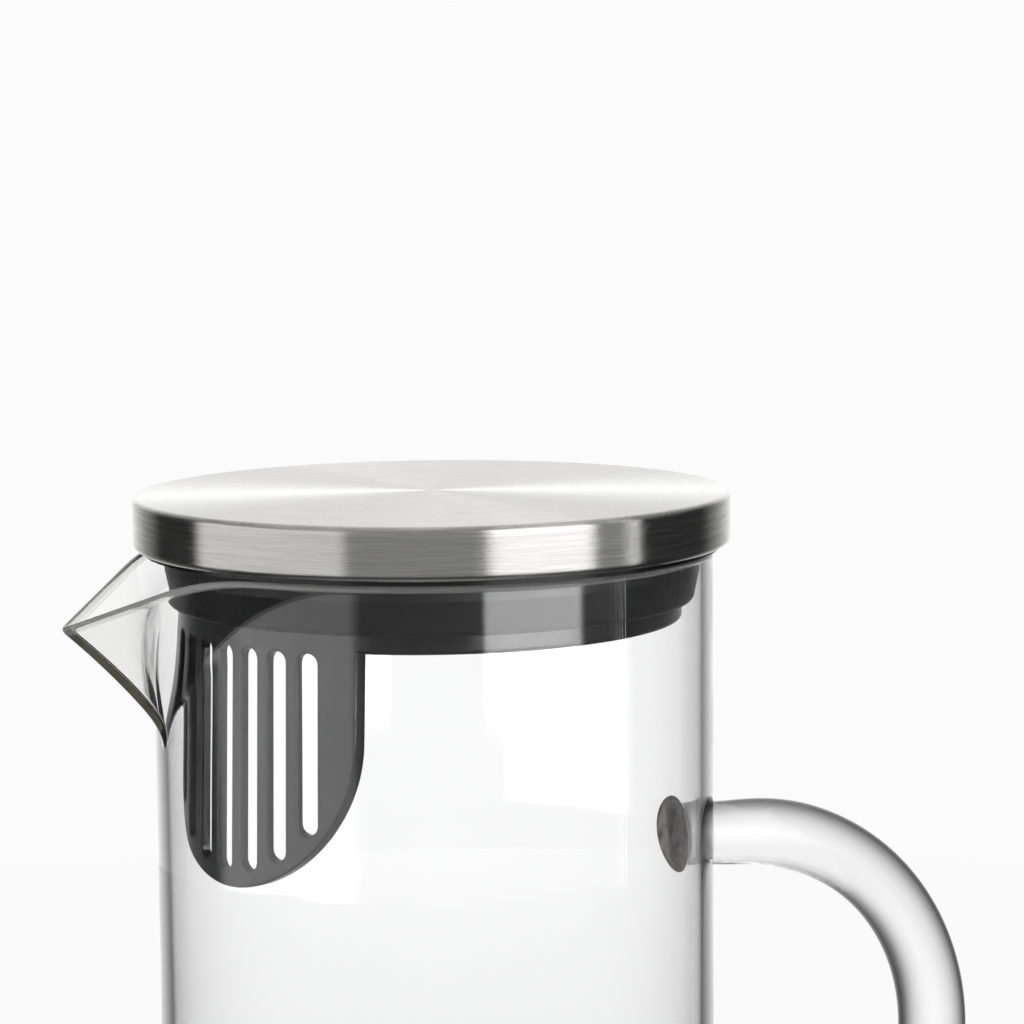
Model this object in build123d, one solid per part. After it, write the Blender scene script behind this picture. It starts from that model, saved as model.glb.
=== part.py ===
# Glass pitcher with a turning steel lid that carries a silicone seal and a slotted strainer.
# Millimetres, +Z up. The origin is the centre of the base, on the surface the pitcher stands on.
# The spout points to -X and the handle to +X.
import os
from math import cos, radians, sin, sqrt, tan

from build123d import *

# Glass body
body_r = 50.0            # outside radius of the straight wall
body_height = 250.0      # from the table to the rim
wall = 2.1
floor_thick = 3.2
base_round = 10.0        # outside radius of the edge between wall and base
foot_width = 5.0         # the flat ring that the pitcher stands on, just inside that edge
push_up = 1.8            # height of the hollow under the base
rim_round = 0.75

# Spout, pulled out of the wall
spout_reach = 18.5       # how far the tip stands out of the wall
spout_drop = 11.0        # the tip below the rim
keel_drop = 31.5         # where the keel leaves the wall, below the rim
keel_bow = 0.7           # how far the keel sags in towards the wall, half-way
spout_half_angle = 34.0  # between the middle plane and each cheek, in a level section
keel_thick = 3.6         # level distance between the keel's outside and its inside
lip_slope = 27.4         # fall of the lip along its straight part
lip_bend = 26.0          # radius between the rim and that straight part
keel_round = 1.3
valley_round = 20.0      # between cheek and wall, outside
inner_valley = 8.0       # the same on the inside

# Handle, a solid glass rod
rod_d = 13.2
weld_d = 14.6            # where the rod is melted on to the wall
weld_flare = 3.0         # length of the flare there
handle_top_drop = 58.0   # upper weld below the rim
handle_span = 130.0      # between the two welds
handle_bend = 42.7       # radius of the rod's middle line
handle_reach = 52.6      # from the wall to the middle line of the grip

# Steel cap
cap_over = 3.2           # how far the skirt stands out beyond the glass
cap_height = 9.0
cap_sheet = 0.8
cap_edge = 1.1
hem = 1.8                # how far the foot of the skirt is turned in
hem_clear = 1.0          # from the foot of the skirt down to the rim

# Core of the lid, a moulded cup with a flange
core_wall = 1.8
groove_depth = 5.5       # from the bore in to the cup, where the seal sits
rib_count = 12
rib_thick = 1.4

# Strainer: a plate that closes the plug, its band, and the tongue
plug_clear = 3.5         # from the bore in to the outside of the band and the tongue
plug_depth = 12.2        # from the rim down to the plate's underside
plate_thick = 1.6
band_height = 3.2
plate_edge = 0.8         # rounded lower corner of the plate
tongue_thick = 1.6
tongue_half = 26.9       # half the width, measured round the curve; also the radius of the round end
tongue_depth = 54.0      # from the rim down to the lowest point
tongue_flare = 1.2       # how far its foot leans out towards the glass
slot_count = 7
slot_pitch = 7.8         # degrees
slot_width = 3.6
slot_margin = 2.8        # from the slots' lower ends to the round edge
slot_top_gap = 0.3       # from the plate's underside to the top of a slot
tongue_edge = 0.4        # softened corner along the outside of the tongue and its slots
lid_turn = 19.1          # how far the strainer is turned away from the spout, at rest

# Silicone seal
seal_taper = 1.5         # from the bore in to the seal's lower edge
seal_lip = 3.0           # height of the part that grips the glass
seal_round = 1.4

# Clearances
rest_gap = 0.2           # the core's flange over the glass rim
seal_gap = 0.3           # between the seal and the glass, on each side
turn_gap = 0.08          # between the seal and the lid that turns inside it
seat_gap = 0.1           # curved faces of pieces that are pressed together

# Worked out from the sizes above
bore_r = body_r - wall
rim_z = body_height
tip_r = body_r + spout_reach
cheek = radians(spout_half_angle)
skirt_z = rim_z + hem_clear
lid_top_z = skirt_z + cap_height
cap_r = body_r + cap_over
cap_inside_r = cap_r - cap_sheet
flange_z = rim_z + rest_gap
plate_z = rim_z - plug_depth
cup_floor_z = plate_z + plate_thick
band_top_z = plate_z + band_height
tongue_z = rim_z - tongue_depth
groove_r = bore_r - groove_depth
plug_r = bore_r - plug_clear
seal_top_r = bore_r - seal_gap
seal_low_r = bore_r - seal_taper
rod_r = rod_d / 2


def turned(points):
    """A full turn of a closed outline given as (radius, height)."""
    with BuildSketch(Plane.XZ) as outline:
        with BuildLine():
            Polyline(*points, close=True)
        make_face()
    return revolve(outline.sketch, Axis.Z)


def rings(solid, *places):
    """The round edges of a turned solid at the given (radius, height)."""
    near = 0.01
    found = solid.edges().filter_by(GeomType.CIRCLE)
    return [e for e in found for r, z in places
            if abs(e.radius - r) < near and abs(e.arc_center.Z - z) < near]


def keel_profile(inset):
    """Side view of the spout: everything behind the keel line, moved inwards by inset."""
    tip = Vector(inset - tip_r, rim_z - spout_drop)
    base = Vector(inset - body_r, rim_z - keel_drop)
    along = (base - tip).normalized()
    inwards = Vector(-along.Y, along.X)
    middle = (tip + base) / 2 + inwards * keel_bow
    inside_x = 0.3 * body_r
    with BuildSketch(Plane.XZ) as side:
        with BuildLine():
            arc = ThreePointArc(tip, middle, base)
            above = tip - (arc % 0) * ((rim_z - tip.Y) / abs((arc % 0).Y))
            below = base + (arc % 1) * wall * 3
            Polyline(tip, above, (inside_x, rim_z), (inside_x, below.Y), below, base)
        make_face()
    return side.sketch


def beak(inset, nose):
    """The V of the spout, where two slanting sweeps of the keel line cross, with its keel rounded."""
    reach = 2.2 * body_r
    profile = keel_profile(inset)
    left = extrude(profile, amount=reach, dir=(cos(cheek), sin(cheek), 0), both=True)
    right = extrude(profile, amount=reach, dir=(cos(cheek), -sin(cheek), 0), both=True)
    wedge = left & right
    near = 0.001
    keel = [e for e in wedge.edges() if abs(e.center().Y) < near and e.center().X < -body_r * 0.9]
    return fillet(keel, nose)


def with_beak(form, radius, inset, nose, valley):
    """Joins the beak to a turned form and rounds the valley between them."""
    joined = form + beak(inset, nose)
    near = 0.02
    floor_z = rim_z - keel_drop - body_r * 0.1

    def on_wall(edge):
        ends = (edge @ 0, edge @ 0.5, edge @ 1)
        return all(abs(sqrt(p.X ** 2 + p.Y ** 2) - radius) < near for p in ends)

    def in_spout(edge):
        c = edge.center()
        return c.X < -radius * 0.8 and floor_z < c.Z < rim_z - near

    valleys = [e for e in joined.edges() if on_wall(e) and in_spout(e) and e.length > wall]
    return fillet(valleys, valley)


def outside_form():
    """The glass filled solid: wall, base with its foot ring and hollow, and spout."""
    foot_out = body_r - base_round
    foot_in = foot_out - foot_width
    hollow_r = (foot_in ** 2 + push_up ** 2) / (2 * push_up)
    with BuildSketch(Plane.XZ) as half:
        with BuildLine():
            RadiusArc((0, push_up), (foot_in, 0), hollow_r)
            Line((foot_in, 0), (foot_out, 0))
            RadiusArc((foot_out, 0), (body_r, base_round), -base_round)
            Polyline((body_r, base_round), (body_r, rim_z), (0, rim_z), (0, push_up))
        make_face()
    return with_beak(revolve(half.sketch, Axis.Z), body_r, 0, keel_round, valley_round)


def inside_form():
    """The space inside the glass, up to the rim."""
    low_z = floor_thick + push_up * 0.5
    corner = base_round - wall
    with BuildSketch(Plane.XZ) as half:
        with BuildLine():
            Line((0, low_z), (bore_r - corner, low_z))
            RadiusArc((bore_r - corner, low_z), (bore_r, low_z + corner), -corner)
            Polyline((bore_r, low_z + corner), (bore_r, rim_z), (0, rim_z), (0, low_z))
        make_face()
    return with_beak(revolve(half.sketch, Axis.Z), bore_r, keel_thick, keel_round, inner_valley)


def lip_cutter():
    """Everything above the lip line, seen from the side."""
    slope = radians(lip_slope)
    corner_x = spout_drop / tan(slope) - tip_r
    start = lip_bend * tan(slope / 2)
    over = spout_reach
    far = (-tip_r - over, rim_z - spout_drop - over * tan(slope))
    bend_end = (corner_x - start * cos(slope), rim_z - start * sin(slope))
    with BuildSketch(Plane.XZ) as side:
        with BuildLine():
            arc = RadiusArc((corner_x + start, rim_z), bend_end, -lip_bend)
            Polyline(arc @ 1, far, (far[0], rim_z + over), (corner_x + start, rim_z + over), arc @ 0)
        make_face()
    return extrude(side.sketch, amount=body_r, both=True)


def glass_body():
    """Blown cylinder with a pulled spout; the whole rim is melted round."""
    glass = outside_form() - inside_form() - lip_cutter()
    steep = 0.8
    tops = [f for f in glass.faces()
            if f.center().Z > rim_z - spout_drop - wall and f.normal_at(f.center()).Z > steep]
    edges = [e for f in tops for e in f.edges()]
    rim = [e for e in edges if sum(e.is_same(other) for other in edges) == 1]
    return fillet(rim, rim_round)


def glass_handle():
    """Round glass rod, bent to a D and melted on to the wall at both ends."""
    top_z = rim_z - handle_top_drop
    low_z = top_z - handle_span
    grip_x = body_r + handle_reach
    corners = [(0, top_z), (grip_x, top_z), (grip_x, low_z), (0, low_z)]
    with BuildLine(Plane.XZ) as route:
        FilletPolyline(*corners, radius=handle_bend)
    start = route.line @ 0
    rod = sweep(Plane(start, z_dir=(1, 0, 0)) * Circle(rod_r), path=route.line)
    weld_x = sqrt(body_r ** 2 - (weld_d / 2) ** 2)
    flare_x = body_r + weld_flare
    with BuildSketch(Plane.XZ) as half:
        with BuildLine():
            bend = ThreePointArc(
                (body_r, weld_d / 2),
                (body_r + weld_flare * 0.35, rod_r + (weld_d / 2 - rod_r) * 0.3),
                (flare_x, rod_r))
            Polyline(bend @ 1, (flare_x, 0), (weld_x - wall, 0), (weld_x - wall, weld_d / 2), bend @ 0)
        make_face()
    foot = revolve(half.sketch, Axis.X)
    outside = Cylinder(body_r, body_height, align=(Align.CENTER, Align.CENTER, Align.MIN))
    return rod + Pos(0, 0, top_z) * foot + Pos(0, 0, low_z) * foot - outside


def steel_cap():
    """Pressed disc with a skirt, whose foot is turned in under the core's flange."""
    foot_z = skirt_z + cap_sheet
    cap = turned([(0, lid_top_z), (cap_r, lid_top_z), (cap_r, skirt_z), (cap_r - hem, skirt_z),
                  (cap_r - hem, foot_z), (cap_inside_r, foot_z),
                  (cap_inside_r, lid_top_z - cap_sheet), (0, lid_top_z - cap_sheet)])
    soft = cap_sheet * 0.45
    cap = fillet(rings(cap, (cap_r, lid_top_z), (cap_r, skirt_z)), cap_edge)
    return fillet(rings(cap, (cap_r - hem, skirt_z), (cap_r - hem, foot_z)), soft)


def lid_core():
    """Moulded cup with a ribbed flange, which rests on the rim and carries the steel cap."""
    outer_r = cap_inside_r - seat_gap
    neck_r = cap_r - hem - seat_gap
    web_z = skirt_z + cap_sheet
    top_z = lid_top_z - cap_sheet
    core = turned([(0, cup_floor_z), (groove_r, cup_floor_z), (groove_r, flange_z), (neck_r, flange_z),
                   (neck_r, web_z), (outer_r, web_z), (outer_r, top_z), (outer_r - core_wall, top_z),
                   (outer_r - core_wall, flange_z + core_wall), (groove_r - core_wall, flange_z + core_wall),
                   (groove_r - core_wall, cup_floor_z + core_wall), (0, cup_floor_z + core_wall)])
    inner_r, length = groove_r - core_wall / 2, outer_r - groove_r
    height = top_z - flange_z
    rib = Pos(inner_r + length / 2, 0, flange_z + height / 2) * Box(length, rib_thick, height)
    return core + PolarLocations(0, rib_count) * rib


def tongue():
    """Hanging part of the strainer, cut from a tube with a round end and upright slots."""
    centre_z = tongue_z + tongue_half
    top_z = plate_z + plate_thick / 2
    height = top_z - tongue_z

    def across(arc_length):
        return plug_r * sin(arc_length / plug_r)

    steps = 8
    turns = [radians(180 * i / steps) for i in range(steps + 1)]
    end = [(across(tongue_half * cos(a)), centre_z - tongue_half * sin(a)) for a in turns]
    with BuildSketch(Plane.YZ) as outline:
        with BuildLine():
            Spline(*end, tangents=[(0, -1), (0, 1)])
            Polyline(end[-1], (end[-1][0], top_z), (end[0][0], top_z), end[0])
        make_face()
    foot_r = plug_r + tongue_flare
    tube = Cone(foot_r, plug_r, height) - Cone(foot_r - tongue_thick, plug_r - tongue_thick, height)
    blank = Pos(0, 0, tongue_z + height / 2) * tube & extrude(outline.sketch, amount=2 * plug_r)
    slots_r = tongue_half - slot_margin
    slot_top_z = plate_z - slot_top_gap
    middle = (slot_count - 1) / 2
    for i in range(slot_count):
        angle = (i - middle) * slot_pitch
        low_z = centre_z - sqrt(slots_r ** 2 - (plug_r * radians(angle)) ** 2)
        upright = Plane.YZ * Pos(0, (slot_top_z + low_z) / 2) * Rot(0, 0, 90)
        slot = extrude(upright * SlotOverall(slot_top_z - low_z, slot_width), amount=2 * plug_r)
        blank -= Rot(0, 0, angle) * slot
    near = 0.01

    def outside(edge):
        ends = (edge @ 0, edge @ 0.5, edge @ 1)
        return all(abs(sqrt(p.X ** 2 + p.Y ** 2) - plug_r - tongue_flare * (top_z - p.Z) / height) < near
                   for p in ends)

    return fillet([e for e in blank.edges() if outside(e) and e.center().Z < plate_z], tongue_edge)


def strainer():
    """Plate that closes the plug from below, its band round the cup, and the tongue."""
    band_in_r = groove_r + seat_gap
    plate = turned([(0, plate_z), (plug_r, plate_z), (plug_r, band_top_z), (band_in_r, band_top_z),
                    (band_in_r, cup_floor_z), (0, cup_floor_z)])
    plate = fillet(rings(plate, (plug_r, plate_z)), plate_edge)
    return Rot(0, 0, 180 + lid_turn) * (plate + tongue())


def seal_ring():
    """Silicone ring between the core's flange and the strainer's band, narrower below."""
    inner_r = groove_r + turn_gap
    low_z = band_top_z + turn_gap
    top_z = flange_z - turn_gap
    ring = turned([(inner_r, low_z), (seal_low_r, low_z), (seal_top_r, top_z - seal_lip),
                   (seal_top_r, top_z), (inner_r, top_z)])
    ring = fillet(rings(ring, (seal_low_r, low_z)), seal_round)
    return fillet(rings(ring, (seal_top_r, top_z), (seal_top_r, top_z - seal_lip)), seal_round / 2)


makers = [glass_body, glass_handle, steel_cap, lid_core, strainer, seal_ring]

if __name__ == "__main__":
    os.makedirs("parts", exist_ok=True)
    for maker in makers:
        piece = maker()
        print(maker.__name__, round(piece.volume), piece.is_valid, len(piece.solids()))
        export_step(piece, f"parts/{maker.__name__}.step")
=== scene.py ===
"""Glass pitcher with a steel lid: the looks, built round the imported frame.

Shapes are written in millimetres and join the scene in metres, with +Z up, the spout towards -X
and the handle towards +X. Angles called psi are measured from the spout.
"""
from math import cos, pi, radians, sin, sqrt, tan

import bpy
import numpy as np
from mathutils import Matrix, Vector


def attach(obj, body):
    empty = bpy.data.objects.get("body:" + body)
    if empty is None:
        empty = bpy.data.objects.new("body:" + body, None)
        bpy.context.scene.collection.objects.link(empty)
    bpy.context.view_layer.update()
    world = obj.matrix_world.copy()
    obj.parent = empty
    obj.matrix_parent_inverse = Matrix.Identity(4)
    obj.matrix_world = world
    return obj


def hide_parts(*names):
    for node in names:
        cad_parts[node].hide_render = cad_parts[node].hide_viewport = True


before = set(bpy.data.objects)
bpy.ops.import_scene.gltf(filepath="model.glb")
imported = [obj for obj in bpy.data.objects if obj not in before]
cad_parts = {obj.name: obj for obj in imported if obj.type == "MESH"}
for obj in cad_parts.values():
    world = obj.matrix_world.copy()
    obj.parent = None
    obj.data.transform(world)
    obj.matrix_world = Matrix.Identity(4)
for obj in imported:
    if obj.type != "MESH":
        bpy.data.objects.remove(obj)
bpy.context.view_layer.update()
MM = 0.001

scene = bpy.context.scene
scene.view_settings.view_transform = "Standard"

# Glass body
RIM_Z = 250.0
BODY_R = 50.0
BORE_R = 47.9
FOOT_OUT = 40.0         # the flat ring that the pitcher stands on, outer radius
FOOT_IN = 35.0          # its inner radius, where the push-up starts
FOOT_ROUND = 10.0       # rounding between the foot and the wall
PUSH_UP = 1.8
FLOOR_Z = 4.1
SPOUT_START_Z = 204.0   # from here up the wall follows the spout
WALL_RINGS = 64
WALL_CROWDING = 1.15    # above 1 the wall's rings draw closer together towards the rim
RIM_RUN = 1.15          # the rim's rounding starts this far below the top
RIM_RINGS = 15

# Spout
TIP_REACH = 18.5
TIP_DROP = 11.0
KEEL_DROP = 31.5
KEEL_BOW = 0.7
KEEL_THICK = 3.4
KEEL_NOSE_OUT = 1.7
KEEL_NOSE_IN = 0.7
KEEL_BAND = 1.9         # half the width of the band along the keel that carries painted shade
CHEEK = radians(34.0)
CHEEK_FADE_START = radians(60)
CHEEK_FADE_END = radians(80)
BLEND_AT_FOOT = 2.6
BLEND_GAIN = 5.0
BLEND_PACE = 1.8
LIP_SLOPE = radians(27.4)
LIP_BEND = 26.0

# Handle
ROD_R = 6.55
ROD_NECK = 5.85
NECK_RUN = 25.0
WELD_R = 7.15
WELD_RISE = 0.9
WELD_WIDER = 1.13
WELD_RISE_RUN = 14.0
WELD_FLARE = 3.0
HANDLE_TOP = 192.0
HANDLE_LOW = 62.0
HANDLE_BEND = 42.7
GRIP_X = 102.6
ROD_SIDES = 72
SEAT_RINGS = 26         # rings at each end of the rod that are fitted to the round wall
SEAT_GAP = 0.03

# Steel cap
CAP_R = 53.2
CAP_FOOT = 251.0
CAP_TOP = 260.0
CAP_SHEET = 0.8
CAP_HEM = 1.8
CAP_EDGE = 1.1          # rounding of the skirt's top and foot
HEM_EDGE = 0.36         # rounding of the turned-in edge
CAP_SIDES = 360
CRISP = 0.03            # a corner this small still shows as sharp

# Camera: fitted to the photograph's lid, rim and plug
PHOTO_SIZE = 1024
SENSOR = 36.0
FOCAL_PIXELS = 2821.406
CAMERA_ANGLE = radians(-109.726)    # where it stands, seen from the pitcher
CAMERA_AWAY = 499.694
CAMERA_HEIGHT = CAP_TOP + 56.298
CAMERA_YAW = radians(1.633)
CAMERA_PITCH = radians(6.894)
CAMERA_ROLL = radians(-0.535)

# Slots of the glass body's materials
OUTER_WALL, INNER_WALL, KEEL_FACE, RIM_FACE, CHEEK_FACE = range(5)

GLASS_IOR = 1.474
PLASTIC_IOR = 1.5

# Painted edge shade: the glass's colour, as the share of light it lets through, by how squarely it
# is seen (1 is straight on); the dips stand in for the dark room seen near the edges
WALL_EDGE_PAINTED_SHADE = ((0, 0.83), (0.1, 0.75), (0.2, 0.5), (0.275, 0.22), (0.32, 0.68), (0.45, 0.95),
             (0.55, 1))
ROD_EDGE_PAINTED_SHADE = ((0, 0.3), (0.2, 0.05), (0.4, 0.08), (0.6, 0.32), (0.8, 0.69), (1, 0.97))

# Brightness of the white backdrop by degrees turned away from the camera's side
BEHIND = ((0, 0.02), (125, 0.02), (140, 0.25), (165, 0.87), (180, 1))

# Brightness by degrees above the horizon: backdrop in glass, seen through glass, backdrop in
# metal, ceiling in metal
OVERHEAD = ((0, 1), (20, 0.97), (30, 0.66), (45, 0.32), (60, 0.2), (90, 0.3))
THROUGH_HIGH = ((0, 1), (20, 0.97), (35, 0.88), (50, 0.78), (90, 0.7))
BACK_HIGH = ((0, 1), (35, 1), (50, 0.95), (70, 0.7), (90, 0.6))
CEILING = ((0, 0), (12, 0), (25, 0.15), (45, 0.32), (60, 0.45), (90, 0.5))

# Brightness of the floor by metres from the pitcher's axis, painted in: seen through glass (painted
# shade near the pitcher), in reflections (a painted pale patch near it)
FLOOR_REACH = 0.8
THROUGH_FLOOR = ((0, 0.62), (0.2, 0.8), (0.35, 0.9), (FLOOR_REACH, 1))
FRONT_FLOOR = ((0, 0.3), (0.1, 0.24), (0.2, 0.02), (FLOOR_REACH, 0.02))

# Bright fields of the room, as (low, high, softness) in degrees: azimuth, then height
LEFT_BOX = (-98.6, -32.0, 3.5), (-34.0, 24.0, 8.0)
RIGHT_BOX = (20.5, 62.5, 2.0), (-10.7, 32.0, 1.0)
MIDDLE = (-34.0, 83.0, 2.0), (-40.0, 40.0, 8.0)
STRIPS = (77.4, 83.2, 0.05), (-40.0, 40.0, 8.0)
STRIP_START = 77.8      # azimuth of the first fine strip
STRIP_SPACING = 0.83    # half the distance from strip to strip

# Power of the left box, right box, strips and middle
IN_METAL = (0.86, 2.1, 5.0, 0.32)
IN_GLASS = (1.5, 7.0, 2.0, 0.10)


def make_camera():
    forward = Vector((sin(CAMERA_YAW) * cos(CAMERA_PITCH), cos(CAMERA_YAW) * cos(CAMERA_PITCH),
                      -sin(CAMERA_PITCH)))
    right = Vector((cos(CAMERA_YAW), -sin(CAMERA_YAW), 0))
    up = right.cross(forward)
    side = cos(CAMERA_ROLL) * right + sin(CAMERA_ROLL) * up
    top = -sin(CAMERA_ROLL) * right + cos(CAMERA_ROLL) * up
    turn = Matrix.Rotation(CAMERA_ANGLE + pi / 2, 3, "Z")
    basis = Matrix((turn @ side, turn @ top, turn @ -forward)).transposed()
    data = bpy.data.cameras.new("camera")
    data.sensor_width = SENSOR
    data.lens = FOCAL_PIXELS / PHOTO_SIZE * SENSOR
    data.clip_start = 0.01
    data.clip_end = 50
    cam = bpy.data.objects.new("camera", data)
    scene.collection.objects.link(cam)
    place = turn @ Vector((0, -CAMERA_AWAY, 0)) + Vector((0, 0, CAMERA_HEIGHT))
    cam.matrix_world = Matrix.Translation(place * MM) @ basis.to_4x4()
    scene.camera = cam


def add_object(name, verts, faces):
    mesh = bpy.data.meshes.new(name)
    mesh.from_pydata((np.asarray(verts) * MM).tolist(), [], faces)
    mesh.validate()
    mesh.update()
    mesh.polygons.foreach_set("use_smooth", [True] * len(mesh.polygons))
    obj = bpy.data.objects.new(name, mesh)
    scene.collection.objects.link(obj)
    return obj


def rings_to_mesh(name, rings, start_pole=None, end_pole=None):
    """Joins rings of points, each an array (n, 3), into one skin; poles close its ends."""
    n = len(rings[0])
    verts = np.vstack(rings).tolist()
    faces = []
    for i in range(len(rings) - 1):
        a, b = i * n, (i + 1) * n
        for j in range(n):
            k = (j + 1) % n
            faces.append((a + j, a + k, b + k, b + j))
    if start_pole is not None:
        pole = len(verts)
        verts.append(list(start_pole))
        faces += [(pole, (j + 1) % n, j) for j in range(n)]
    if end_pole is not None:
        pole = len(verts)
        verts.append(list(end_pole))
        last = (len(rings) - 1) * n
        faces += [(pole, last + j, last + (j + 1) % n) for j in range(n)]
    return add_object(name, verts, faces)


def ease(share):
    """Takes 0 to 1 to 0 to 1 with a soft start and end."""
    return share * share * (3 - 2 * share)


def smooth_max(a, b, k):
    h = np.clip(0.5 + 0.5 * (b - a) / k, 0, 1)
    return a * (1 - h) + b * h + k * h * (1 - h)


def arc_points(cx, cz, r, a0, a1, n):
    return [(cx + r * cos(a), cz + r * sin(a)) for a in np.linspace(a0, a1, n)]


def keel_table():
    """Heights and outward reach of the keel line, from below its foot to above the rim."""
    tip = np.array((BODY_R + TIP_REACH, RIM_Z - TIP_DROP))
    foot = np.array((BODY_R, RIM_Z - KEEL_DROP))
    chord = foot - tip
    along = chord / np.linalg.norm(chord)
    bow = np.array((along[1], -along[0])) * KEEL_BOW * 4
    t = np.linspace(-2.2, 2.4, 600)     # 0 at the tip, 1 at the foot, straight beyond both
    mid = np.clip(t, 0, 1)
    pts = tip + np.outer(mid, chord) + np.outer(mid * (1 - mid), bow)
    pts += np.outer(np.minimum(t, 0), chord + bow)
    pts += np.outer(np.maximum(t - 1, 0), chord - bow)
    order = np.argsort(pts[:, 1])
    return pts[order, 1], pts[order, 0]


KEEL_Z, KEEL_X = keel_table()


def spout_radius(psi, z, radius, inset, nose, blend):
    """Distance from the axis at angle psi from the spout, at height z."""
    reach = np.interp(z, KEEL_Z, KEEL_X) - inset
    psi = np.abs((psi + pi) % (2 * pi) - pi)
    near = np.minimum(psi, CHEEK_FADE_END)
    c, s, slope = np.cos(near), np.sin(near), tan(CHEEK)
    r = reach * sin(CHEEK) / np.sin(near + CHEEK)
    for _ in range(8):      # Newton's steps on to the cheeks, which meet in a rounded nose
        y = r * s
        soft = np.where(y > nose, y, y * y / (2 * nose) + nose / 2)
        rate = np.where(y > nose, 1.0, y / nose)
        r = r - (r * c + soft / slope - reach) / (c + s * rate / slope)
    fade = np.clip((psi - CHEEK_FADE_START) / (CHEEK_FADE_END - CHEEK_FADE_START), 0, 1)
    well_inside = radius - 20
    r = r * (1 - fade) + well_inside * fade
    return smooth_max(np.full_like(r, radius), r, blend)


def cheek_blend(z):
    """How softly the cheek leaves the round glass: sharp at the keel's foot, wide near the rim."""
    share = np.clip((z - (RIM_Z - KEEL_DROP)) / KEEL_DROP * BLEND_PACE, 0, 1)
    return BLEND_AT_FOOT + BLEND_GAIN * ease(share)


def outer_radius(psi, z):
    return spout_radius(psi, z, BODY_R, 0.0, KEEL_NOSE_OUT, cheek_blend(z))


def inner_radius(psi, z):
    return spout_radius(psi, z, BORE_R, KEEL_THICK, KEEL_NOSE_IN, cheek_blend(z))


def lip_height(x):
    """Height of the rim where the side view has x towards the spout."""
    corner = BODY_R + TIP_REACH - TIP_DROP / tan(LIP_SLOPE)
    start = LIP_BEND * tan(LIP_SLOPE / 2)
    bend_in, bend_out = corner - start, corner + start * cos(LIP_SLOPE)
    arc = RIM_Z - LIP_BEND + np.sqrt(np.maximum(LIP_BEND ** 2 - (x - bend_in) ** 2, 0))
    straight = RIM_Z - (x - corner) * tan(LIP_SLOPE)
    return np.where(x < bend_in, RIM_Z, np.where(x < bend_out, arc, straight))


def top_of(surface, psi):
    """Height at which a surface of the spout meets the lip, found by halving."""
    low, high = np.full_like(psi, RIM_Z - 20), np.full_like(psi, RIM_Z + 0.001)
    for _ in range(40):
        z = (low + high) / 2
        under = lip_height(surface(psi, z) * np.cos(psi)) > z
        low, high = np.where(under, z, low), np.where(under, high, z)
    return z


def spout_angles():
    """Angles from the spout, close together where the glass is drawn out."""
    nose = np.linspace(0, 3, 25)
    cheek = np.linspace(3, 60, 190)[1:]
    rest = np.linspace(60, 180, 120)[1:]
    half = np.radians(np.concatenate([nose, cheek, rest]))
    return np.concatenate([half, -half[1:-1][::-1]])


def around(psi, r, z):
    """Points at angle psi from the spout, which points to -X."""
    return np.stack([-r * np.cos(psi), -r * np.sin(psi), z], axis=1)


def make_glass_body():
    psi = spout_angles()
    one = np.ones_like(psi)

    def level(r, z):
        return around(psi, one * r, one * z)

    def wall(surface, top):
        shares = 1 - (1 - np.linspace(0, 1, WALL_RINGS)) ** WALL_CROWDING
        heights = [SPOUT_START_Z + (top - RIM_RUN - SPOUT_START_Z) * t for t in shares]
        return [around(psi, surface(psi, z), z) for z in heights]

    dome = (FOOT_IN ** 2 + PUSH_UP ** 2) / (2 * PUSH_UP)
    rings = [level(r, PUSH_UP - dome + sqrt(dome ** 2 - r * r))
             for r in (3, 8, 15, 22, 28, 32, 34.2)]
    rings += [level(r, z) for r, z in ((34.8, CRISP), (35.4, 0.0), (37.5, 0.0), (39.6, 0.0))]
    rings += [level(r, z) for r, z in
              arc_points(FOOT_OUT, FOOT_ROUND, FOOT_ROUND, -pi / 2, 0, 14)[1:]]
    rings += [level(BODY_R, z) for z in (14, 20, 40, 70, 100, 130, 160, 185, 200)]

    top_out, top_in = top_of(outer_radius, psi), top_of(inner_radius, psi)
    outer, inner = wall(outer_radius, top_out), wall(inner_radius, top_in)
    rings += outer
    rim_start = len(rings) - 1
    a, d = outer[-1], inner[-1]
    b = a + (around(psi, outer_radius(psi, top_out), top_out) - a) * 4 / 3
    c = d + (around(psi, inner_radius(psi, top_in), top_in) - d) * 4 / 3
    for t in np.linspace(0, 1, RIM_RINGS)[1:-1]:
        rings.append(a * (1 - t) ** 3 + b * 3 * t * (1 - t) ** 2
                     + c * 3 * t * t * (1 - t) + d * t ** 3)
    rim_end = len(rings)

    rings += inner[::-1]
    corner = FOOT_ROUND - (BODY_R - BORE_R)
    rings += [level(BORE_R, z) for z in (200, 185, 160, 130, 100, 70, 40, 20)]
    rings += [level(r, z) for r, z in
              arc_points(BORE_R - corner, FLOOR_Z + corner, corner, 0, -pi / 2, 14)]
    rings += [level(r, FLOOR_Z) for r in (38, 34, 28, 20, 12, 5)]
    body = rings_to_mesh("pitcher_glass", rings, (0, 0, PUSH_UP), (0, 0, FLOOR_Z))

    rim_first, rim_last = rim_start * len(psi), rim_end * len(psi)
    quads = (len(rings) - 1) * len(psi)
    under_fan = quads + len(psi)        # the push-up's fan comes first, then the inner floor's
    for i, poly in enumerate(body.data.polygons):
        spot = poly.center / MM
        if rim_first <= i < rim_last:
            poly.material_index = RIM_FACE
        elif abs(spot.y) < KEEL_BAND and spot.x < -BODY_R - 0.6 and i < rim_first:
            poly.material_index = KEEL_FACE
        elif spot.z > RIM_Z - KEEL_DROP - 1 and spot.x < -BODY_R - 0.1 and i < quads:
            poly.material_index = CHEEK_FACE
        elif rim_last <= i < quads or under_fan <= i:
            poly.material_index = INNER_WALL
        else:
            poly.material_index = OUTER_WALL
    return body


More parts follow.
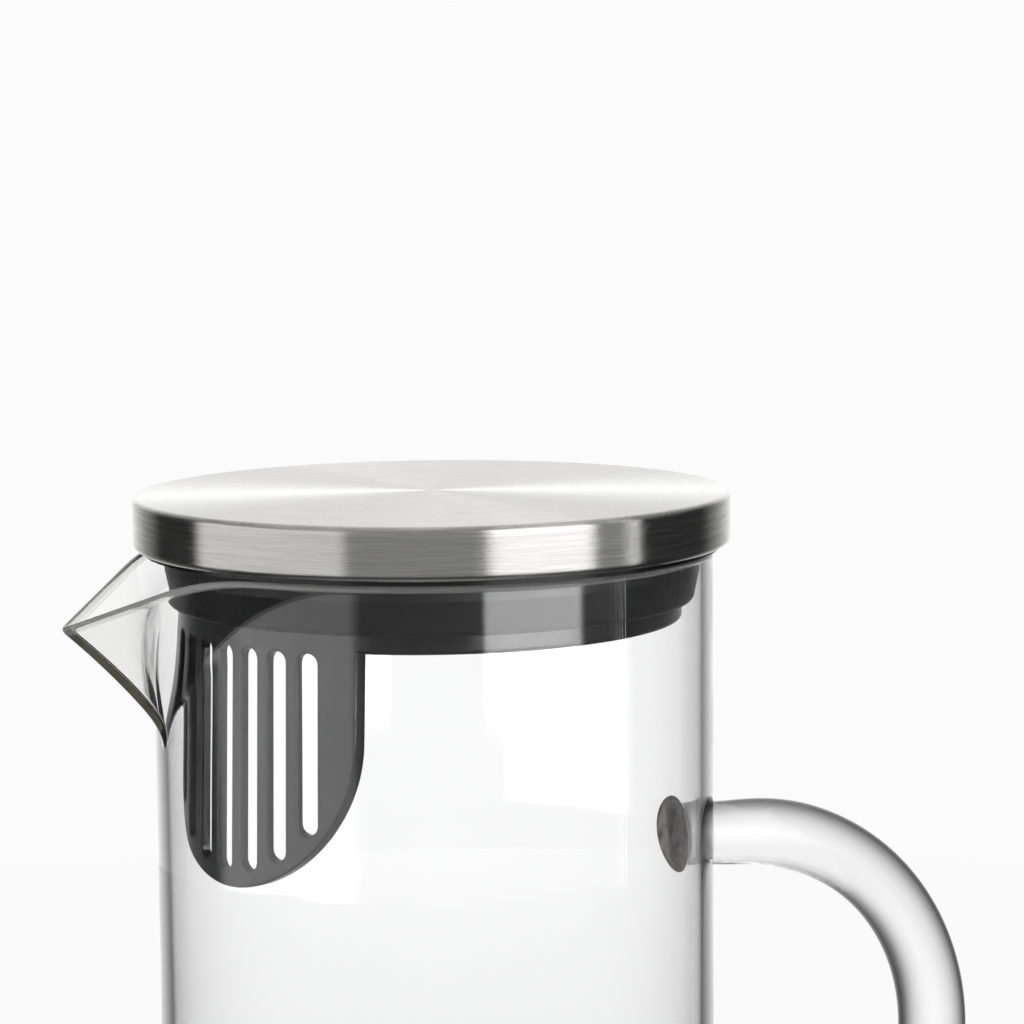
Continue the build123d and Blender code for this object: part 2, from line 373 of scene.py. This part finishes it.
def handle_path():
    """Middle line of the rod from one weld to the other: points and tangents in the XZ plane."""
    bend_x = GRIP_X - HANDLE_BEND
    mid = (HANDLE_TOP + HANDLE_LOW) / 2
    pts = [(x, HANDLE_TOP) for x in BODY_R + (bend_x - BODY_R) * np.linspace(0, 1, 26)]
    tans = [(1, 0)] * len(pts)
    for a in np.linspace(pi / 2, 0, 60)[1:]:
        pts.append((bend_x + HANDLE_BEND * cos(a), HANDLE_TOP - HANDLE_BEND + HANDLE_BEND * sin(a)))
        tans.append((sin(a), -cos(a)))
    for z in np.linspace(HANDLE_TOP - HANDLE_BEND, mid, 10)[1:]:
        pts.append((GRIP_X, z))
        tans.append((0, -1))
    pts, tans = np.array(pts), np.array(tans)
    low_pts = pts[-2::-1] * (1, -1) + (0, 2 * mid)
    low_tans = tans[-2::-1] * (-1, 1)
    pts, tans = np.vstack([pts, low_pts]), np.vstack([tans, low_tans])
    away = np.clip((pts[:, 0] - BODY_R) / WELD_RISE_RUN, 0, 1)
    pts[:, 1] += WELD_RISE * (1 - away) ** 2 * np.sign(pts[:, 1] - mid)
    return pts, tans


def rod_radius(run):
    """Radius at a distance from the wall: the glass flares where it is melted on."""
    rod = ROD_NECK + (ROD_R - ROD_NECK) * ease(np.clip(run / NECK_RUN, 0, 1))
    return rod + (WELD_R - ROD_NECK) * (1 - np.clip(run / WELD_FLARE, 0, 1)) ** 2.4


def make_handle():
    pts, tans = handle_path()
    run = np.concatenate([[0], np.cumsum(np.linalg.norm(np.diff(pts, axis=0), axis=1))])
    turn = np.linspace(0, 2 * pi, ROD_SIDES, endpoint=False)
    rings = []
    for (x, z), (tx, tz), s in zip(pts, tans, run):
        from_wall = min(s, run[-1] - s)
        r = rod_radius(from_wall)
        wider = 1 + (WELD_WIDER - 1) * max(0, 1 - from_wall / WELD_FLARE)
        up = r * np.cos(turn)
        rings.append(np.stack([x - tz * up, r * np.sin(turn) * wider, z + tx * up], axis=1))

    def wall_x(y):
        return np.sqrt(BODY_R ** 2 - y ** 2) + SEAT_GAP

    for i in range(SEAT_RINGS):
        pull = 1 - ease(i / (SEAT_RINGS - 1))
        for ring in (rings[i], rings[-1 - i]):
            ring[:, 0] += (wall_x(ring[:, 1]) - BODY_R) * pull

    weld_top, weld_low = HANDLE_TOP + WELD_RISE, HANDLE_LOW - WELD_RISE
    first, last = [], []
    for share in (0.85, 0.6, 0.35, 0.15):
        for end, z, into in ((rings[0], weld_top, first), (rings[-1], weld_low, last)):
            ring = end.copy()
            ring[:, 1] *= share
            ring[:, 2] = z + (ring[:, 2] - z) * share
            ring[:, 0] = wall_x(ring[:, 1])
            into.append(ring)
    skin = first[::-1] + rings + last
    rod = rings_to_mesh("handle_rod", skin, (BODY_R + SEAT_GAP, 0, weld_top),
                        (BODY_R + SEAT_GAP, 0, weld_low))
    rod.data.flip_normals()
    ends = len(first) * ROD_SIDES
    quads = (len(skin) - 1) * ROD_SIDES
    for i, poly in enumerate(rod.data.polygons):
        poly.material_index = int(i < ends or quads - ends <= i)
    return rod


def lathe(name, profile):
    """Turns an outline of (radius, height), which starts and ends on the axis, round it."""
    turn = np.linspace(0, 2 * pi, CAP_SIDES, endpoint=False)
    rings = [np.stack([r * np.cos(turn), r * np.sin(turn), np.full(CAP_SIDES, z)], axis=1)
             for r, z in profile[1:-1]]
    turned = rings_to_mesh(name, rings, (0, 0, profile[0][1]), (0, 0, profile[-1][1]))
    turned.data.flip_normals()
    return turned


def cap_profile():
    inner_top = CAP_TOP - CAP_SHEET
    inner_r = CAP_R - CAP_SHEET
    hem_x = CAP_R - CAP_HEM + HEM_EDGE
    hem_top = CAP_FOOT + CAP_SHEET
    pts = [(0, CAP_TOP)]
    pts += [(r, CAP_TOP) for r in (2, 10, 25, 40, 48, 51.6)]
    pts += arc_points(CAP_R - CAP_EDGE, CAP_TOP - CAP_EDGE, CAP_EDGE, pi / 2, 0, 12)
    pts += [(CAP_R, z) for z in (258.2, 256.5, 254.5, 253.0, 252.4)]
    pts += arc_points(CAP_R - CAP_EDGE, CAP_FOOT + CAP_EDGE, CAP_EDGE, 0, -pi / 2, 12)
    pts += [(hem_x, CAP_FOOT)]
    pts += arc_points(hem_x, CAP_FOOT + HEM_EDGE, HEM_EDGE, -pi / 2, -pi, 6)[1:]
    pts += arc_points(hem_x, hem_top - HEM_EDGE, HEM_EDGE, pi, pi / 2, 6)
    pts += [(inner_r - CRISP, hem_top), (inner_r, hem_top + CRISP)]
    pts += [(inner_r, inner_top - CRISP), (inner_r - CRISP, inner_top)]
    pts += [(40, inner_top), (0, inner_top)]
    return pts


class Nodes:
    """Short names for building a node tree."""

    def __init__(self, tree):
        self.tree = tree
        tree.nodes.clear()

    def new(self, kind, **settings):
        node = self.tree.nodes.new(kind)
        for key, value in settings.items():
            setattr(node, key, value)
        return node

    def link(self, a, b):
        self.tree.links.new(a, b)

    def put(self, socket, value):
        if isinstance(value, bpy.types.NodeSocket):
            self.link(value, socket)
        else:
            socket.default_value = value

    def math(self, op, *values):
        node = self.new("ShaderNodeMath", operation=op)
        for socket, value in zip(node.inputs, values):
            self.put(socket, value)
        return node.outputs[0]

    def times(self, a, b):
        return self.math("MULTIPLY", a, b)

    def remap(self, value, a, b, c=0.0, d=1.0):
        """Takes a value from the range a to b softly to the range c to d."""
        node = self.new("ShaderNodeMapRange", interpolation_type="SMOOTHSTEP", clamp=True)
        for socket, given in zip(node.inputs, (value, a, b, c, d)):
            self.put(socket, given)
        return node.outputs[0]

    def curve(self, value, points, span):
        """A value read off straight lines between (x, y) points, with x from 0 to span."""
        node = self.new("ShaderNodeValToRGB")
        self.link(self.math("DIVIDE", value, span), node.inputs[0])
        marks = node.color_ramp.elements
        while len(marks) < len(points):
            marks.new(0.5)
        for mark, (x, _) in zip(marks, points):
            mark.position = x / span
        for mark, (_, y) in zip(marks, points):
            mark.color = (y, y, y, 1)
        return node.outputs["Color"]

    def mix(self, factor, a, b):
        node = self.new("ShaderNodeMix", data_type="RGBA")
        for index, value in ((0, factor), (6, a), (7, b)):
            self.put(node.inputs[index], value)
        return node.outputs[2]

    def noise(self, vector, scale, detail, rough=0.5, distortion=0.0):
        node = self.new("ShaderNodeTexNoise")
        for key, value in (("Vector", vector), ("Scale", scale), ("Detail", detail),
                           ("Roughness", rough), ("Distortion", distortion)):
            self.put(node.inputs[key], value)
        return node.outputs["Fac"]

    def bump(self, height, strength, distance):
        node = self.new("ShaderNodeBump")
        for key, value in (("Height", height), ("Strength", strength), ("Distance", distance)):
            self.put(node.inputs[key], value)
        return node.outputs["Normal"]

    def split(self, vector):
        parts = self.new("ShaderNodeSeparateXYZ")
        self.link(vector, parts.inputs[0])
        return parts.outputs

    def place(self):
        return self.new("ShaderNodeTexCoord").outputs["Object"]

    def normal(self):
        return self.new("ShaderNodeNewGeometry").outputs["Normal"]

    def ring_vector(self, across, along):
        """Coordinates that run fast across the turned surface and slowly round it."""
        x, y, z = self.split(self.place())
        r = self.math("SQRT", self.math("ADD", self.times(x, x), self.times(y, y)))
        safe = self.math("MAXIMUM", r, 0.0005)
        join = self.new("ShaderNodeCombineXYZ")
        self.put(join.inputs[0], self.times(self.math("ADD", r, z), across))
        self.put(join.inputs[1], self.times(self.math("DIVIDE", x, safe), along))
        self.put(join.inputs[2], self.times(self.math("DIVIDE", y, safe), along))
        return join.outputs[0]


def grey(level):
    return level, level, level, 1


def material(name):
    mat = bpy.data.materials.new(name)
    mat.use_nodes = True
    n = Nodes(mat.node_tree)
    out = n.new("ShaderNodeOutputMaterial")
    bsdf = n.new("ShaderNodeBsdfPrincipled")
    n.link(bsdf.outputs[0], out.inputs["Surface"])
    return mat, n, bsdf.inputs


def painted_edge_shade(n, edge):
    """Painted edge shade on clear glass: its colour darkens by how squarely it is seen, standing in
    for the dark room seen near the edges.
    """
    facing = n.new("ShaderNodeLayerWeight").outputs["Facing"]
    return n.curve(n.math("SUBTRACT", 1.0, facing), edge, 1.0)


def clear_glass(name, wave):
    mat, n, shader = material(name)
    shader["Base Color"].default_value = (0.992, 0.996, 0.994, 1)
    shader["Transmission Weight"].default_value = 1.0
    shader["IOR"].default_value = GLASS_IOR
    shader["Roughness"].default_value = 0.0
    slow = n.noise(n.place(), 34.0, 2.0)
    n.link(n.bump(slow, wave, 0.0004), shader["Normal"])
    return mat, n, shader


def wall_glass():
    mat, n, shader = clear_glass("clear_glass", 0.12)
    # The wall's colour carries painted edge shade.
    n.link(painted_edge_shade(n, WALL_EDGE_PAINTED_SHADE), shader["Base Color"])
    return mat


def rod_glass():
    """Painted edge shade in the rod's colour, weaker on its underside and stronger on the inside of
    the bends.
    """
    mat, n, shader = clear_glass("rod_glass", 0.2)
    out, _, up = n.split(n.normal())
    under = n.times(n.remap(up, -0.1, -0.6, 0.0, 0.85), n.remap(out, -0.9, -0.1))
    power = n.times(n.math("SUBTRACT", 1.5, under), n.remap(out, -0.3, -0.95, 1.0, 2.0))
    shade = n.math("POWER", painted_edge_shade(n, ROD_EDGE_PAINTED_SHADE), power)
    # Faces seen from inside the rod carry no painted shade.
    leaving = n.new("ShaderNodeNewGeometry").outputs["Backfacing"]
    n.link(n.mix(leaving, shade, grey(1)), shader["Base Color"])
    shader["Specular Tint"].default_value = grey(0.12)
    return mat


def glass_with_painted_light_and_shade(name, colour, clear, rough):
    """Glass with a matt share in its colour: painted shade on the spout's thick keel, a painted
    highlight on the melted rim, and a faint matt white on the cheeks.
    """
    mat, n, shader = material(name)
    streaks = n.remap(n.noise(n.place(), 260.0, 3.0), 0.35, 0.65)
    darker = tuple(v * v ** 0.2 for v in colour)
    n.link(n.mix(streaks, (*darker, 1), (*colour, 1)), shader["Base Color"])
    shader["Transmission Weight"].default_value = clear
    shader["IOR"].default_value = GLASS_IOR
    shader["Roughness"].default_value = rough
    return mat


def weld_glass():
    mat, n, shader = material("weld_face")
    place = n.place()
    cells = n.noise(place, 520.0, 5.0, 0.65, 0.8)
    cloud = n.noise(place, 150.0, 2.0, 0.5, 0.4)
    # The weld's brownish grey, mottled and with darker patches, is painted shade standing in for
    # the dark view down the rod through the weld.
    brown = n.mix(n.remap(cells, 0.35, 0.68), (0.25, 0.205, 0.175, 1), (0.48, 0.41, 0.36, 1))
    colour = n.mix(n.remap(cloud, 0.52, 0.66), brown, (0.06, 0.054, 0.05, 1))
    n.link(colour, shader["Base Color"])
    n.link(n.remap(cells, 0.3, 0.7, 0.25, 0.5), shader["Roughness"])
    n.link(n.bump(cells, 0.4, 0.0005), shader["Normal"])
    shader["Transmission Weight"].default_value = 0.25
    shader["IOR"].default_value = GLASS_IOR
    return mat


def spun_steel():
    mat, n, shader = material("brushed_steel")
    lines = n.noise(n.ring_vector(7000.0, 7.0), 1.0, 4.0, 0.7)
    bands = n.noise(n.ring_vector(1300.0, 2.2), 1.0, 3.0, 0.6)
    both = n.math("ADD", n.times(lines, 0.62), n.times(bands, 0.38))
    colour = n.mix(n.remap(both, 0.36, 0.64), (0.58, 0.574, 0.563, 1), (0.84, 0.834, 0.823, 1))
    satin = n.remap(n.split(n.normal())[2], 0.1, 0.9, 0.72, 1.0)     # the skirt is smoother
    n.link(colour, shader["Base Color"])
    n.link(n.times(n.remap(both, 0.36, 0.64, 0.24, 0.33), satin), shader["Roughness"])
    n.link(n.new("ShaderNodeTangent", direction_type="RADIAL", axis="Z").outputs[0],
           shader["Tangent"])
    n.link(n.bump(lines, 0.11, 0.00006), shader["Normal"])
    shader["Metallic"].default_value = 1.0
    shader["Anisotropic"].default_value = 1.0
    shader["Anisotropic Rotation"].default_value = 0.25
    return mat


def plastic(name, dark, light, rough, grain=900.0):
    mat, n, shader = material(name)
    place = n.place()
    stretch = n.new("ShaderNodeMapping")
    n.link(place, stretch.inputs["Vector"])
    stretch.inputs["Scale"].default_value = (1.0, 1.0, 0.06)
    pits = n.noise(stretch.outputs[0], grain, 2.0)
    cloud = n.remap(n.noise(place, 60.0, 3.0), 0.3, 0.7)
    n.link(n.mix(cloud, dark, light), shader["Base Color"])
    n.link(n.remap(pits, 0.3, 0.7, rough * 0.85, rough * 1.2), shader["Roughness"])
    n.link(n.bump(pits, 0.05, 0.0001), shader["Normal"])
    shader["IOR"].default_value = PLASTIC_IOR
    return mat


def bearing(n, x, y):
    """Degrees from the direction of the camera, as seen from the pitcher, to that of (x, y)."""
    c, s = cos(CAMERA_ANGLE), sin(CAMERA_ANGLE)
    ahead = n.math("ADD", n.times(x, c), n.times(y, s))
    right = n.math("ADD", n.times(x, -s), n.times(y, c))
    return n.math("DEGREES", n.math("ARCTAN2", right, ahead))


def window(n, value, low, high, soft):
    up = n.remap(value, low - soft, low + soft)
    down = n.remap(value, high - soft, high + soft, 1.0, 0.0)
    return n.times(up, down)


def fine_strips(n, azimuth):
    """A few narrow bright lines side by side, brighter towards the right."""
    comb = n.math("PINGPONG", n.math("SUBTRACT", azimuth, STRIP_START), STRIP_SPACING)
    lines = n.times(window(n, azimuth, *STRIPS[0]), n.remap(comb, 0.12, 0.26, 1.0, 0.0))
    return n.times(lines, n.remap(azimuth, 79.0, 83.5, 0.35, 1.0))


def room(n, azimuth, height, backdrop, high, powers):
    """Brightness of the room: white behind, two soft boxes in front and dark between them."""
    behind = n.curve(n.math("ABSOLUTE", azimuth), BEHIND, 180.0)
    total = n.times(n.times(behind, n.curve(height, high, 90.0)), backdrop)
    across = (window(n, azimuth, *LEFT_BOX[0]), window(n, azimuth, *RIGHT_BOX[0]),
              fine_strips(n, azimuth), window(n, azimuth, *MIDDLE[0]))
    for wide, field, power in zip(across, (LEFT_BOX, RIGHT_BOX, STRIPS, MIDDLE), powers):
        tall = window(n, height, *field[1])
        total = n.math("MAXIMUM", total, n.times(n.times(wide, tall), power))
    return total


def make_world():
    world = bpy.data.worlds.new("studio")
    scene.world = world
    world.use_nodes = True
    n = Nodes(world.node_tree)
    out = n.new("ShaderNodeOutputWorld")
    ground = n.new("ShaderNodeBackground")
    path = n.new("ShaderNodeLightPath").outputs
    x, y, z = n.split(n.new("ShaderNodeTexCoord").outputs["Generated"])
    azimuth = bearing(n, x, y)
    height = n.math("DEGREES", n.math("ARCSINE", z))

    in_metal = n.math("MAXIMUM", room(n, azimuth, height, 1.22, BACK_HIGH, IN_METAL),
                      n.curve(height, CEILING, 90.0))
    in_glass = n.math("MAXIMUM", room(n, azimuth, height, 1.0, OVERHEAD, IN_GLASS), 0.12)
    through = n.times(n.curve(height, THROUGH_HIGH, 90.0), 1.08)
    mirrored = n.math("GREATER_THAN", path["Glossy Depth"], 0.5)
    level = n.mix(path["Is Glossy Ray"], grey(0.9), in_metal)
    level = n.mix(path["Is Transmission Ray"], level, n.mix(mirrored, through, in_glass))
    level = n.mix(path["Is Camera Ray"], level, grey(0.965))
    n.link(level, ground.inputs["Color"])
    ground.inputs["Strength"].default_value = 1.0
    n.link(ground.outputs[0], out.inputs["Surface"])


def floor_material():
    """Pale and matt, with some light of its own, so that it joins the white backdrop."""
    mat = bpy.data.materials.new("floor")
    mat.use_nodes = True
    n = Nodes(mat.node_tree)
    out = n.new("ShaderNodeOutputMaterial")
    matt = n.new("ShaderNodeBsdfDiffuse")
    glow = n.new("ShaderNodeEmission")
    path = n.new("ShaderNodeLightPath").outputs
    place = n.place()
    far = n.new("ShaderNodeVectorMath", operation="LENGTH")
    n.link(place, far.inputs[0])
    far = far.outputs["Value"]
    x, y, _ = n.split(place)

    # Painted shade on the floor: seen through glass it darkens towards the pitcher, and in
    # reflections it is dark on the camera's side save a painted pale patch near the pitcher.
    fade = n.curve(far, THROUGH_FLOOR, FLOOR_REACH)
    behind = n.curve(n.math("ABSOLUTE", bearing(n, x, y)), BEHIND, 180.0)
    mirrored = n.math("MAXIMUM", n.times(fade, behind), n.curve(far, FRONT_FLOOR, FLOOR_REACH))
    again = n.math("GREATER_THAN", path["Glossy Depth"], 0.5)
    shade = n.mix(path["Is Glossy Ray"], grey(1), mirrored)
    shade = n.mix(path["Is Transmission Ray"], shade, n.mix(again, fade, mirrored))
    indirect = n.math("MAXIMUM", path["Is Glossy Ray"], path["Is Transmission Ray"])
    seen = n.math("MAXIMUM", path["Is Camera Ray"], indirect)
    strength = n.mix(indirect, grey(0.55), grey(0.7))
    n.link(n.times(n.times(seen, shade), strength), glow.inputs["Strength"])
    n.link(n.times(shade, 0.45), matt.inputs["Color"])
    both = n.new("ShaderNodeAddShader")
    n.link(matt.outputs[0], both.inputs[0])
    n.link(glow.outputs[0], both.inputs[1])
    n.link(both.outputs[0], out.inputs["Surface"])
    return mat


def make_floor():
    turn = np.linspace(0, 2 * pi, 128, endpoint=False)
    rings = [np.stack([r * np.cos(turn), r * np.sin(turn), 0 * turn], axis=1)
             for r in (150, 400, FLOOR_REACH / MM)]
    floor = rings_to_mesh("floor", rings, (0, 0, 0))
    floor.data.flip_normals()
    floor.data.materials.append(floor_material())


make_camera()

glass = make_glass_body()
for mat in (wall_glass(), clear_glass("inner_glass", 0.12)[0],
            # Painted shade: the keel's dark olive stands in for the dark seen through its thick
            # glass.
            glass_with_painted_light_and_shade("keel_glass", (0.27, 0.25, 0.185), 0.45, 0.04),
            # Painted highlight: the rim's whitish matt share stands in for the bright reflections
            # along the polished rim.
            glass_with_painted_light_and_shade("rim_glass", (0.92, 0.92, 0.91), 0.8, 0.06),
            glass_with_painted_light_and_shade("spout_glass", (0.995, 0.995, 0.99), 0.97, 0.0)):
    glass.data.materials.append(mat)
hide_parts("glass_body")
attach(glass, "jug")

handle = make_handle()
handle.data.materials.append(rod_glass())
handle.data.materials.append(weld_glass())
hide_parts("glass_handle")
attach(handle, "jug")

cap = lathe("lid_cap", cap_profile())
cap.data.materials.append(spun_steel())
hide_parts("steel_cap")
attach(cap, "lid")

black = plastic("black_plastic", (0.004, 0.004, 0.0042, 1), (0.007, 0.007, 0.0072, 1), 0.22)
dark = plastic("strainer_plastic", (0.016, 0.016, 0.0165, 1), (0.024, 0.024, 0.0245, 1), 0.22)
rubber = plastic("silicone", (0.008, 0.008, 0.0085, 1), (0.014, 0.014, 0.0145, 1), 0.45, 1500.0)
for name, mat in (("lid_core", black), ("strainer", dark), ("seal_ring", rubber)):
    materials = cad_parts[name].data.materials
    materials.clear()
    materials.append(mat)

make_world()
make_floor()
